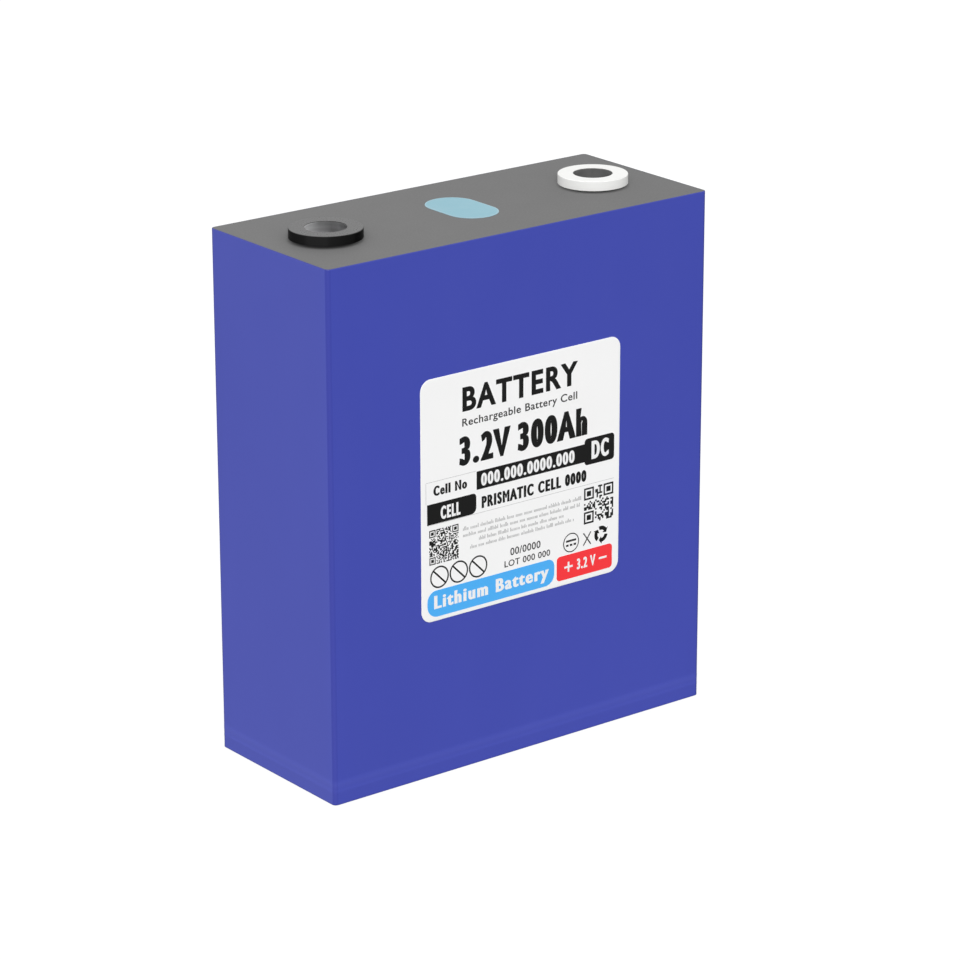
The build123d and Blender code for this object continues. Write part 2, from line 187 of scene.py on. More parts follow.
# Camera and light: angles in degrees, with azimuth 0 in front of the labelled face
VIEW_AZIMUTH = -37.925
VIEW_ELEVATION = 18.966
VIEW_ROLL = -0.107
VIEW_DISTANCE = 1463.9 * MM
SHIFT_RIGHT = -6.150 * MM
SHIFT_UP = 3.741 * MM
FOCAL_LENGTH = 147.07
SENSOR_WIDTH = 36.0
SKY_ABOVE = 1.0
SKY_BELOW = 0.15
HORIZON_BLEND = 0.25
KEY_STRENGTH = 1.88
KEY_ANGLE = 33.0
KEY_ELEVATION = 35.0
FLOOR_GLOW = 0.86
FLOOR_HALF = 6.0


def middle_and_half(node):
    """The middle of a CAD piece's box and half of the box's size."""
    low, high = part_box(node)
    return (low + high) / 2, (high - low) / 2


def new_object(name, data):
    """An object with this data, in the scene."""
    thing = bpy.data.objects.new(name, data)
    bpy.context.scene.collection.objects.link(thing)
    return thing


# ---------------------------------------------------------------- materials


class Nodes:
    """Short names for building one material's node tree."""

    def __init__(self, name):
        self.material = bpy.data.materials.new(name)
        self.material.use_nodes = True
        self.tree = self.material.node_tree
        self.shader = self.tree.nodes["Principled BSDF"]
        coordinates = self.tree.nodes.new("ShaderNodeTexCoord")
        self.place = coordinates.outputs["Object"]
        self.facing = coordinates.outputs["Normal"]

    def link(self, source, target):
        self.tree.links.new(source, target)

    def socket(self, name, value):
        self.shader.inputs[name].default_value = value

    def stretch(self, scale):
        """The object's coordinates, scaled along each axis."""
        node = self.tree.nodes.new("ShaderNodeMapping")
        node.inputs["Scale"].default_value = scale
        self.link(self.place, node.inputs["Vector"])
        return node.outputs["Vector"]

    def noise(self, scale, detail=3.0, roughness=0.5, vector=None):
        node = self.tree.nodes.new("ShaderNodeTexNoise")
        node.inputs["Scale"].default_value = scale
        node.inputs["Detail"].default_value = detail
        node.inputs["Roughness"].default_value = roughness
        self.link(vector or self.place, node.inputs["Vector"])
        return node.outputs["Fac"]

    def vector_maths(self, operation, source, value=None):
        """Vector maths on one source and, where it needs two, a constant or another source."""
        node = self.tree.nodes.new("ShaderNodeVectorMath")
        node.operation = operation
        self.link(source, node.inputs[0])
        if isinstance(value, tuple):
            node.inputs[1].default_value = value
        elif value is not None:
            self.link(value, node.inputs[1])
        gives_number = operation in ("DISTANCE", "DOT_PRODUCT")
        return node.outputs["Value" if gives_number else "Vector"]

    def maths(self, operation, first, second):
        """A number worked out from a source and either a constant or another source."""
        node = self.tree.nodes.new("ShaderNodeMath")
        node.operation = operation
        self.link(first, node.inputs[0])
        if isinstance(second, float):
            node.inputs[1].default_value = second
        else:
            self.link(second, node.inputs[1])
        return node.outputs["Value"]

    def part(self, vector, axis):
        """One of a vector's three numbers."""
        node = self.tree.nodes.new("ShaderNodeSeparateXYZ")
        self.link(vector, node.inputs["Vector"])
        return node.outputs[axis]

    def span(self, source, low, high):
        """The source stretched so that low gives 0 and high gives 1."""
        node = self.tree.nodes.new("ShaderNodeMapRange")
        node.inputs["From Min"].default_value = low
        node.inputs["From Max"].default_value = high
        self.link(source, node.inputs["Value"])
        return node.outputs["Result"]

    def blend(self, source, stops):
        """Colours or greys at places from 0 to 1, evenly blended between."""
        node = self.tree.nodes.new("ShaderNodeValToRGB")
        elements = node.color_ramp.elements
        elements[0].position = stops[0][0]
        elements[1].position = stops[-1][0]
        for place, _ in stops[1:-1]:
            elements.new(place)
        for element, (_, value) in zip(elements, stops):
            colour = value if isinstance(value, tuple) else (value, value, value)
            element.color = (*colour, 1.0)
        self.link(source, node.inputs["Fac"])
        return node.outputs["Color"]

    def ramp(self, source, low, high, start=0.3, end=0.7):
        """From one colour or grey to another as the source goes from start to end."""
        return self.blend(source, ((start, low), (end, high)))

    def bump(self, source, strength, distance):
        node = self.tree.nodes.new("ShaderNodeBump")
        node.inputs["Strength"].default_value = strength
        node.inputs["Distance"].default_value = distance
        self.link(source, node.inputs["Height"])
        return node.outputs["Normal"]

    def finish(self, colour, roughness, normal):
        self.link(colour, self.shader.inputs["Base Color"])
        self.link(roughness, self.shader.inputs["Roughness"])
        self.link(normal, self.shader.inputs["Normal"])
        return self.material


def shade(colour, factor):
    """The colour made darker or paler."""
    return tuple(min(1.0, channel * factor) for channel in colour)


def film_material(
    name, colour, roughness=0.3, cloudiness=0.025,
    painted_facing_shade=None, painted_rim_light=None, painted_foot_light=None, painted_top_shade=None,
):
    """Thin polyester film: soft orange-peel, slight cloudiness, faint rub marks in the gloss.

    painted_facing_shade gives the light and shade painted on the film by how far it faces along X, from 0
    to 1, painted_rim_light the light painted on it over the ridges where it bridges the tray's rim,
    painted_foot_light the light painted on it, growing evenly from its top edge down to its foot, and
    painted_top_shade the share of its colour left under the shade painted where it faces up.
    """
    m = Nodes(name)
    cloud = m.noise(scale=22.0, detail=2.0)
    peel = m.noise(scale=700.0, detail=2.0)
    rub = m.noise(scale=55.0, detail=4.0, roughness=0.65, vector=m.stretch((1.0, 1.0, 0.35)))
    tint = m.ramp(cloud, shade(colour, 1.0 - cloudiness), shade(colour, 1.0 + cloudiness))
    # Painted light and shade, by how far the film faces along X
    if painted_facing_shade:
        facing_x = m.part(m.vector_maths("ABSOLUTE", m.facing), "X")
        tint = m.vector_maths("MULTIPLY", tint, m.blend(facing_x, painted_facing_shade))
    # Painted light on the ridges where the film bridges the tray's rim
    if painted_rim_light:
        height = m.span(m.part(m.place, "Z"), 0.0, RIM_LIGHT_TOP)
        gain = m.vector_maths("MULTIPLY", m.blend(height, RIM_PAINTED_LIGHT), painted_rim_light)
        tint = m.vector_maths("ADD", tint, gain)
    # Painted light, growing evenly towards the film's foot
    if painted_foot_light:
        height = m.span(m.part(m.place, "Z"), 0.0, cover_top)
        gain = m.ramp(height, painted_foot_light, (0.0, 0.0, 0.0), start=0.0, end=1.0)
        tint = m.vector_maths("ADD", tint, gain)
    # Painted shade where the film faces up, on its rolled top edge
    if painted_top_shade:
        share = m.ramp(m.part(m.facing, "Z"), 1.0, painted_top_shade, start=0.1, end=0.7)
        tint = m.vector_maths("MULTIPLY", tint, share)
    gloss = m.ramp(rub, roughness - 0.02, roughness + 0.08, start=0.4, end=0.75)
    m.socket("IOR", 1.5)
    return m.finish(tint, gloss, m.bump(peel, strength=0.10, distance=0.01 * MM))


def moulded_look(
    m, colour, roughness=0.5, grain=1400.0, depth=0.02, unevenness=0.03, ior=1.5, share=None,
):
    """Moulded or sheet plastic: fine texture, slightly uneven colour and gloss.

    depth is the texture's height in millimetres, and share multiplies the colour.
    """
    patch = m.noise(scale=60.0)
    fine = m.noise(scale=grain, roughness=0.6)
    tint = m.ramp(patch, shade(colour, 1.0 - unevenness), shade(colour, 1.0 + unevenness))
    if share is not None:
        tint = m.vector_maths("MULTIPLY", tint, share)
    gloss = m.ramp(fine, roughness - 0.05, roughness + 0.07)
    m.socket("IOR", ior)
    return m.finish(tint, gloss, m.bump(fine, strength=0.3, distance=depth * MM))


def moulded_material(name, colour, **look):
    """Plain moulded or sheet plastic, its look as moulded_look takes it."""
    return moulded_look(Nodes(name), colour, **look)


def top_blend(m, side, top):
    """From a side value to a top value as the surface turns to face up."""
    return m.blend(m.part(m.facing, "Z"), ((0.35, side), (0.95, top)))


def dark_plastic(name, colour, side_light_share):
    """Dark moulded plastic, with light painted on its top and on one side."""
    m = Nodes(name)
    lit = m.vector_maths("DOT_PRODUCT", m.facing, LIT_SIDE)
    # Painted light and shade on the collar's side, by how far it faces LIT_SIDE
    sides = m.maths("MULTIPLY", m.blend(lit, LIT_SHARE), side_light_share)
    share = m.maths("ADD", sides, top_blend(m, 0.0, 1.0))
    m.link(top_blend(m, 0.02, 0.5), m.shader.inputs["Specular IOR Level"])
    return moulded_look(m, colour, roughness=0.30, depth=0.012, share=share)


def top_shaded_plastic(name, colour, top_shade_share):
    """Pale moulded plastic, with shade painted where it faces up."""
    m = Nodes(name)
    # Painted shade: less of the colour is left where it faces up
    share = top_blend(m, 1.0, top_shade_share)
    return moulded_look(m, colour, roughness=0.45, unevenness=0.01, share=share)


def cover_material(name, colour):
    """Dark sheet with a fine grain, greyed by painted sheen, darker towards +X by painted shade, with the
    collars' soft shadows painted in.
    """
    m = Nodes(name)
    gaps = []
    for collar in ("negative_collar", "positive_collar"):
        middle, half = middle_and_half(collar)
        centre = (middle.x + SHADE_SHIFT[0], middle.y + SHADE_SHIFT[1], cover_top)
        gaps.append(m.maths("SUBTRACT", m.vector_maths("DISTANCE", m.place, centre), half.x))
    shade_left = m.blend(m.span(m.maths("MINIMUM", *gaps), SHADE_START, SHADE_END), COLLAR_SHADE)
    m.link(m.maths("MULTIPLY", shade_left, 0.5), m.shader.inputs["Specular IOR Level"])
    along = m.span(m.part(m.place, "X"), cad_low.x, cad_high.x)
    # Painted shade: darker towards the cover's +X end, on top of the collars' painted shadows
    share = m.maths("MULTIPLY", shade_left, m.ramp(along, 1.0, COVER_FAR_END_SHADE, start=0.0, end=1.0))
    return moulded_look(m, colour, roughness=0.62, unevenness=0.02, ior=1.4, share=share)


def metal_material(name, colour, roughness, stretch=(1.0, 1.0, 1.0)):
    """Metal with fine marks along one direction and a dull patchy oxide."""
    m = Nodes(name)
    marks = m.noise(scale=600.0, detail=4.0, roughness=0.6, vector=m.stretch(stretch))
    tint = m.ramp(m.noise(scale=120.0), shade(colour, 0.88), shade(colour, 1.05))
    gloss = m.ramp(marks, roughness - 0.08, roughness + 0.12)
    m.socket("Metallic", 1.0)
    return m.finish(tint, gloss, m.bump(marks, strength=0.3, distance=0.01 * MM))


def coated_material(name, colour, roughness=0.8):
    """Dull coating or porous film: fine specks over soft patches of gloss."""
    m = Nodes(name)
    specks = m.noise(scale=1800.0, detail=2.0, roughness=0.7)
    tint = m.ramp(specks, shade(colour, 0.85), shade(colour, 1.12))
    gloss = m.ramp(m.noise(scale=90.0), roughness - 0.08, roughness + 0.08)
    return m.finish(tint, gloss, m.bump(specks, strength=0.3, distance=0.01 * MM))


def ink_material(name, colour):
    """Printed ink: a very fine mottle and a light gloss."""
    m = Nodes(name)
    mottle = m.noise(scale=3500.0, detail=2.0, roughness=0.6)
    tint = m.ramp(mottle, shade(colour, 0.94), shade(colour, 1.06))
    gloss = m.ramp(mottle, 0.42, 0.52)
    m.socket("IOR", 1.4)
    return m.finish(tint, gloss, m.bump(mottle, strength=0.15, distance=0.004 * MM))


def turned_material(name, post, colour, roughness, tone, metal_parts, streaks):
    """Turned metal: fine rings round the post's axis, streaks along them and painted reflections.

    tone and metal_parts give the colour's strength and how metallic it is round the axis,
    from 0 to 1 as the angle goes from -180 to 180 degrees.
    """
    m = Nodes(name)
    from_axis = m.vector_maths("ADD", m.place, (-middle_and_half(post)[0].x, 0.0, 0.0))
    rings = m.tree.nodes.new("ShaderNodeTexWave")
    rings.wave_type = "RINGS"
    rings.rings_direction = "Z"
    rings.inputs["Scale"].default_value = 900.0
    rings.inputs["Distortion"].default_value = 1.2
    m.link(from_axis, rings.inputs["Vector"])
    turn = m.tree.nodes.new("ShaderNodeTexGradient")
    turn.gradient_type = "RADIAL"
    m.link(from_axis, turn.inputs["Vector"])
    smear = m.noise(scale=110.0, roughness=0.6, vector=m.stretch((0.4, 0.4, 4.0)))
    tint = m.ramp(m.noise(scale=180.0), shade(colour, 0.9), shade(colour, 1.06))
    tint = m.vector_maths("MULTIPLY", tint, m.blend(turn.outputs["Fac"], tone))
    streak = m.ramp(smear, 1.0 - streaks, 1.0 + streaks, start=0.38, end=0.62)
    tint = m.vector_maths("MULTIPLY", tint, streak)
    m.link(m.blend(turn.outputs["Fac"], metal_parts), m.shader.inputs["Metallic"])
    gloss = m.ramp(rings.outputs["Fac"], roughness - 0.06, roughness + 0.08)
    return m.finish(tint, gloss, m.bump(rings.outputs["Fac"], strength=0.25, distance=0.01 * MM))


MATERIALS = {
    "blue_film": film_material(
        "blue_film", (0.0865, 0.1045, 0.509), roughness=0.3, cloudiness=0.012,
        painted_facing_shade=FILM_FACING_SHADE, painted_rim_light=(0.0124, 0.0142, 0.0355),
        painted_foot_light=(0.0055, 0.0050, 0.0080), painted_top_shade=0.55,
    ),
    # The sheet is black; most of this grey is painted sheen
    "cover_sheet": cover_material("cover_sheet", (0.1231, 0.1231, 0.1231)),
    "black_plastic": dark_plastic("black_plastic", (0.031, 0.031, 0.0313), side_light_share=0.55),
    "white_plastic": top_shaded_plastic("white_plastic", (0.808, 0.808, 0.793), top_shade_share=0.88),
    "pale_blue_film": film_material(
        "pale_blue_film", (0.156, 0.359, 0.438), roughness=0.34, cloudiness=0.03,
    ),
    "label_paper": moulded_material(
        "label_paper", (0.962, 0.962, 0.962),
        roughness=0.40, grain=2600.0, depth=0.004, unevenness=0.008,
    ),
    "can_aluminium": metal_material(
        "can_aluminium", (0.78, 0.79, 0.80), roughness=0.34, stretch=(1.0, 1.0, 0.05),
    ),
    "terminal_aluminium": metal_material("terminal_aluminium", (0.42, 0.42, 0.43), roughness=0.42),
    "foil_aluminium": metal_material("foil_aluminium", (0.82, 0.83, 0.84), roughness=0.28),
    "copper": metal_material("copper", (0.80, 0.42, 0.27), roughness=0.30),
    "dark_sheet": moulded_material("dark_sheet", (0.03, 0.03, 0.03)),
    "inner_plastic": moulded_material("inner_plastic", (0.70, 0.70, 0.66)),
    "seal_rubber": coated_material("seal_rubber", (0.02, 0.02, 0.02), roughness=0.7),
    "clear_sheet": film_material("clear_sheet", (0.62, 0.64, 0.66), roughness=0.25),
    "green_tape": film_material("green_tape", (0.05, 0.33, 0.14)),
    "anode_coating": coated_material("anode_coating", (0.03, 0.03, 0.033)),
    "cathode_coating": coated_material("cathode_coating", (0.055, 0.055, 0.06)),
    "separator_film": coated_material("separator_film", (0.80, 0.80, 0.79), roughness=0.6),
}


def dress_cad():
    """Give every CAD piece its slot's material."""
    for row in frame["record"]["subparts"]:
        materials = frame["nodes"][row["node"]].data.materials
        materials.clear()
        materials.append(MATERIALS[row["material_slot"]])


# ---------------------------------------------------------------- mesh helpers


def add_piece(name, mesh, materials, sharp_angle=35.0):
    """Put a finished mesh in the scene, riding on the cell."""
    mesh.shade_smooth()
    mesh.set_sharp_from_angle(angle=math.radians(sharp_angle))
    for material in materials:
        mesh.materials.append(material)
    piece = new_object(name, mesh)
    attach(piece, "root")
    return piece


def loops_mesh(name, loops, closed_profile):
    """Join closed loops of equal length into a skin; the last one joins the first if asked."""
    count = len(loops[0])
    verts = [point for loop in loops for point in loop]
    faces = []
    for row in range(len(loops) if closed_profile else len(loops) - 1):
        first = row * count
        second = (row + 1) % len(loops) * count
        for step in range(count):
            after = (step + 1) % count
            faces.append((first + step, first + after, second + after, second + step))
    if not closed_profile:
        faces.append(tuple(reversed(range(count))))
        faces.append(tuple(range((len(loops) - 1) * count, len(loops) * count)))
    mesh = bpy.data.meshes.new(name)
    mesh.from_pydata(verts, [], faces)
    shape = bmesh.new()
    shape.from_mesh(mesh)
    bmesh.ops.recalc_face_normals(shape, faces=shape.faces)
    shape.to_mesh(mesh)
    shape.free()
    return mesh


def arc_points(centre, radius, start, end, steps):
    """Points round part of a circle, its ends left out."""
    points = []
    for step in range(1, steps):
        angle = math.radians(start + (end - start) * step / steps)
        points.append((centre[0] + radius * math.cos(angle), centre[1] + radius * math.sin(angle)))
    return points


def cuts(count):
    """Places from -1 to 1 that cut a side into this many equal steps."""
    return [-1 + 2 * step / count for step in range(count + 1)]


def rounded_outline(half_x, half_y, radius, along_x, along_y, arc_steps):
    """A rounded rectangle, anticlockwise, its straight sides cut at fractions from -1 to 1."""
    run_x, run_y = half_x - radius, half_y - radius
    points = [(run_x * part, -half_y) for part in along_x]
    points += arc_points((run_x, -run_y), radius, -90, 0, arc_steps)
    points += [(half_x, run_y * part) for part in along_y]
    points += arc_points((run_x, run_y), radius, 0, 90, arc_steps)
    points += [(-run_x * part, half_y) for part in along_x]
    points += arc_points((-run_x, run_y), radius, 90, 180, arc_steps)
    points += [(-half_x, -run_y * part) for part in along_y]
    points += arc_points((-run_x, -run_y), radius, 180, 270, arc_steps)
    return points


# ---------------------------------------------------------------- wrap film


def film_profile(top):
    """The film's section as (inset, height), up the outside, down the inside, round the flap.

    With it comes the number of its places that are on the outside.
    """
    fold = arc_points((FOLD_RADIUS, FOLD_RADIUS), FOLD_RADIUS, 270, 180, steps=6)
    outside = [(FOLD_RADIUS, 0.0), *fold, (0.0, FOLD_RADIUS)]
    outside += [(inset * MM, height * MM) for inset, height in RIM_RIDGES]
    rows = 40
    last = top - FILM_SKIN
    rise = (last - FLAT_FILM_START) / rows
    outside += [(FILM_SLACK, FLAT_FILM_START + rise * row) for row in range(rows)]
    # A last short row keeps the rolled edge's smooth shading off the flat film.
    outside += [(FILM_SLACK, last - EDGE_MARGIN), (FILM_SLACK, last)]
    # The rolled edge is an arc, stretched upwards to reach the film's full height.
    roll_radius = FILM_SKIN - FILM_SLACK
    rolled = arc_points((FILM_SKIN, 0.0), roll_radius, 180, 90, steps=4)
    edge = [(inset, last + height * FILM_SKIN / roll_radius) for inset, height in rolled]
    edge.append((FILM_SKIN, top))
    inside = [(FILM_SKIN, TRAY_RIM_TOP), (FILM_FOOT_SKIN, TRAY_RIM_TOP)]
    flap_top = FLAP_UNDERSIDE + FILM_FOOT_SKIN
    flap = [
        (FILM_FOOT_SKIN, flap_top),
        (FLAP_WIDTH, flap_top),
        (FLAP_WIDTH, FLAP_UNDERSIDE),
        (FLAP_STEP, FLAP_UNDERSIDE),
        (FLAP_STEP, 0.0),
    ]
    return outside + edge + inside + flap, len(outside)


def make_wrap():
    """The blue film: one closed skin with a fold at the base and an overlap seam at +X."""
    low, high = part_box("wrap_film")
    half_x, half_y = high.x, high.y
    profile, outside_rows = film_profile(high.z)
    seam_low = (SEAM_PLACE - SEAM_WIDTH / 2) / half_y
    seam_high = (SEAM_PLACE + SEAM_WIDTH / 2) / half_y
    seam_cuts = [seam_low - SEAM_SLOPE, seam_low, seam_high, seam_high + SEAM_SLOPE]
    along_x, along_y = cuts(42), sorted(cuts(18) + seam_cuts)

    def slack_at(x, y, height, inset):
        """How far the film lies in or out of its even place, with the seam's overlap proud."""
        if x > half_x - inset - FILM_SLACK and seam_low < y / half_y < seam_high:
            return -FILM_SLACK
        return WAVE_HEIGHT * noise.noise(Vector((x, y, height / 2)) * WAVES_PER_METRE)

    loops = []
    for row, (inset, height) in enumerate(profile):
        is_flat = row < outside_rows and height > FLAT_FILM_START
        radius = max(CORNER_RADIUS - inset, TIGHTEST_RADIUS)
        outline = rounded_outline(half_x - inset, half_y - inset, radius, along_x, along_y, arc_steps=8)
        loop = []
        for x, y in outline:
            slack = slack_at(x, y, height, inset) if is_flat else 0.0
            pull_x = slack if abs(x) > half_x - CORNER_RADIUS else 0.0
            pull_y = slack if abs(y) > half_y - CORNER_RADIUS else 0.0
            x = min(max(x - math.copysign(pull_x, x), low.x), high.x)
            y = min(max(y - math.copysign(pull_y, y), low.y), high.y)
            loop.append((x, y, height))
        loops.append(loop)
    mesh = loops_mesh("film_wrap", loops, True)
    piece = add_piece("film_wrap", mesh, [MATERIALS["blue_film"]])
    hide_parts("wrap_film")


# ---------------------------------------------------------------- vent film


def stadium_outline(half_width, half_length, arc_steps, side_steps):
    """A round-ended slot along Y, anticlockwise."""
    run = half_length - half_width
    right = [(half_width, run * place) for place in cuts(side_steps)]
    top = arc_points((0.0, run), half_width, 0, 180, arc_steps)
    left = [(-x, -y) for x, y in right]
    bottom = arc_points((0.0, -run), half_width, 180, 360, arc_steps)
    return right + top + left + bottom


def make_vent_film():
    """The vent's pale film: rolled edge, paler pressed border and a slightly slack middle."""
    middle, half = middle_and_half("vent_film")
    loops = []
    for inset, level in VENT_PROFILE:
        pucker = VENT_PUCKER if inset > VENT_BORDER_WIDTH else 0.0
        outline = stadium_outline(half.x - inset * MM, half.y - inset * MM, arc_steps=28, side_steps=12)
        loop = []
        for x, y in outline:
            lift = level + pucker * noise.noise(Vector((x, y, 0.0)) * PUCKERS_PER_METRE)
            loop.append((middle.x + x, middle.y + y, middle.z + half.z * (2.0 * lift - 1.0)))
        loops.append(loop)
    mesh = loops_mesh("vent_sticker", loops, False)
    border = film_material("pale_border", (0.235, 0.41, 0.485), roughness=0.34, cloudiness=0.03)
    looks = [MATERIALS["pale_blue_film"], border]
    piece = add_piece("vent_sticker", mesh, looks, sharp_angle=50.0)
    for polygon in mesh.polygons[: VENT_BORDER_ROWS * len(loops[0])]:
        polygon.material_index = 1
    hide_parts("vent_film")


# ---------------------------------------------------------------- terminal posts


def post_profile(low, high, well_radius):
    """Radius and height from the spigot's foot, over the rim, to the thread, and the floor's height."""
    flange_low = low.z + SPIGOT_HEIGHT
    flange_high = flange_low + FLANGE_THICKNESS
    flange_radius = (high.x - low.x) / 2
    floor = high.z - WELL_DEPTH
    edge = POST_EDGE
    points = [
        (SPIGOT_RADIUS - edge, low.z), (SPIGOT_RADIUS, low.z + edge), (SPIGOT_RADIUS, flange_low),
        (flange_radius - edge, flange_low), (flange_radius, flange_low + edge),
        (flange_radius, flange_high - edge), (flange_radius - edge, flange_high),
        (POST_RADIUS, flange_high), (POST_RADIUS, high.z - edge), (POST_RADIUS - edge, high.z),
        (well_radius + edge, high.z), (well_radius, high.z - edge), (well_radius, floor + WELL_FILLET),
    ]
    fillet_centre = (well_radius - WELL_FILLET, floor + WELL_FILLET)
    points += arc_points(fillet_centre, WELL_FILLET, 0, -90, steps=6)
    points += [(well_radius - WELL_FILLET, floor)]
    points += [(radius * MM, floor - drop * MM) for radius, drop in FLOOR_STEPS]
    return points, floor


def thread_radius(depth, turn):
    """The cut thread's radius at this depth and share of a turn, with a flared mouth."""
    phase = (depth / THREAD_PITCH - turn) % 1.0
    groove = min(1.0, 1.25 * abs(2.0 * phase - 1.0))
    cut = THREAD_MINOR + (THREAD_MAJOR - THREAD_MINOR) * groove
    lead_in = min(1.0, depth / (0.8 * THREAD_PITCH))
    return cut * lead_in + THREAD_MOUTH * (1.0 - lead_in)


def make_post(node, name, well_radius, material):
    """A cup-shaped aluminium post with a cut M6 thread in its floor."""
    low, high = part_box(node)
    axis_x = middle_and_half(node)[0].x
    outside, floor = post_profile(low, high, well_radius)
    steps = 96
    rows_per_pitch = 10
    thread_rows = round(THREAD_DEPTH / THREAD_PITCH * rows_per_pitch)
    loops = [[(radius, height)] * steps for radius, height in outside]
    for row in range(1, thread_rows + 1):
        depth = THREAD_DEPTH * row / thread_rows
        loops.append([(thread_radius(depth, step / steps), floor - depth) for step in range(steps)])
    loops.append([(THREAD_END, floor - THREAD_DEPTH)] * steps)
    placed = []
    for loop in loops:
        turned = []
        for step, (radius, height) in enumerate(loop):
            angle = 2 * math.pi * step / steps
            turned.append((axis_x + radius * math.cos(angle), radius * math.sin(angle), height))
        placed.append(turned)
    piece = add_piece(name, loops_mesh(name, placed, False), [material])
    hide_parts(node)


def make_posts():
    """Both posts; the negative one is brighter, with streaks down its well."""
    bright_post = turned_material(
        "bright_post", "negative_post", (0.90, 0.90, 0.91), roughness=0.40,
        tone=BRIGHT_TONE, metal_parts=BRIGHT_METAL, streaks=0.12,
    )
    dull_post = turned_material(
        "dull_post", "positive_post", (0.35, 0.35, 0.347), roughness=0.55,
        tone=DULL_TONE, metal_parts=DULL_METAL, streaks=0.02,
    )
    make_post("negative_post", "negative_turned_post", NEGATIVE_WELL_RADIUS, bright_post)
    make_post("positive_post", "positive_turned_post", POSITIVE_WELL_RADIUS, dull_post)


# ---------------------------------------------------------------- label


def glyph_contour(spline):
    """One closed outline of a glyph as points, its straight sides uncut."""
    points = []
    knots = list(spline.bezier_points)
    for knot, after in zip(knots, [*knots[1:], knots[0]]):
        chord = (after.co - knot.co).xy
        bulge = max(
            abs(chord.cross((knot.handle_right - knot.co).xy)),
            abs(chord.cross((after.handle_left - knot.co).xy)),
        )
        steps = CURVE_STEPS if bulge > STRAIGHT_BULGE else 2
        samples = interpolate_bezier(knot.co, knot.handle_right, after.handle_left, after.co, steps)
        for sample in samples[:-1]:
            if not points or (sample.xy - points[-1]).length > SHORTEST_EDGE:
                points.append(sample.xy)
    if (points[0] - points[-1]).length <= SHORTEST_EDGE:
        points.pop()
    return points


def thickened(points, weight):
    """Move a contour outwards, further across than up where weight says so.

    Where an edge would shrink to less than a small share of its length or turn over, its
    ends are moved less.
    """
    sharpest_mitre, least_kept, easing, rounds = 0.6, 0.15, 0.75, 12
    count = len(points)
    growth = [1.0] * count
    moves = []
    for index, point in enumerate(points):
        before = (point - points[index - 1]).normalized()
        after = (points[(index + 1) % count] - point).normalized()
        side = Vector((before.y, -before.x)) + Vector((after.y, -after.x))
        mitre = side / max(sharpest_mitre, side.dot(side) / 2)
        moves.append(Vector((mitre.x * weight[0], mitre.y * weight[1])))
    for _ in range(rounds):
        moved = [point + move * part for point, move, part in zip(points, moves, growth)]
        for index in range(count):
            edge = points[index] - points[index - 1]
            if edge.dot(moved[index] - moved[index - 1]) < least_kept * edge.length_squared:
                growth[index] *= easing
                growth[index - 1] *= easing
    return [point + move * part for point, move, part in zip(points, moves, growth)]


def winding(place, contours):
    """How many times the contours go round a place; each comes with its reach along X."""
    turns = 0
    for contour, left, right in contours:
        if not left <= place.x <= right:
            continue
        for index, end in enumerate(contour):
            start = contour[index - 1]
            if (start.y > place.y) == (end.y > place.y):
                continue
            across = start.x + (place.y - start.y) * (end.x - start.x) / (end.y - start.y)
            if across > place.x:
                turns += 1 if end.y > start.y else -1
    return turns


def lettering(text, weight, spacing):
    """Points and triangles of a line of plain lettering, one em tall."""
    font = bpy.data.curves.new(text, "FONT")
    font.body = text
    font.space_character = spacing
    writer = new_object(text, font)
    depsgraph = bpy.context.evaluated_depsgraph_get()
    outlines = writer.evaluated_get(depsgraph).to_curve(depsgraph)
    corners = []
    edges = []
    contours = []
    for spline in outlines.splines:
        contour = thickened(glyph_contour(spline), weight)
        first = len(corners)
        corners += contour
        edges += [(first + step, first + (step + 1) % len(contour)) for step in range(len(contour))]
        reach = [point.x for point in contour]
        contours.append((contour, min(reach), max(reach)))
    bpy.data.objects.remove(writer)
    bpy.data.curves.remove(font)
    points, _, triangles, *_ = delaunay_2d_cdt(corners, edges, [], 0, SAME_PLACE)
    kept = []
    for triangle in triangles:
        a, b, c = (points[index] for index in triangle)
        longest = max((b - a).length, (c - b).length, (a - c).length)
        is_flat = abs((b - a).cross(c - a)) < THINNEST_SLIVER * longest
        if not is_flat and winding((a + b + c) / 3, contours) > 0:
            kept.append(triangle)
    return points, kept


def polar(u, v, radius, turn):
    """A place on the label this far from (u, v), its turn in degrees from right towards down."""
    turn = math.radians(turn)
    return u + radius * math.cos(turn), v + radius * math.sin(turn)


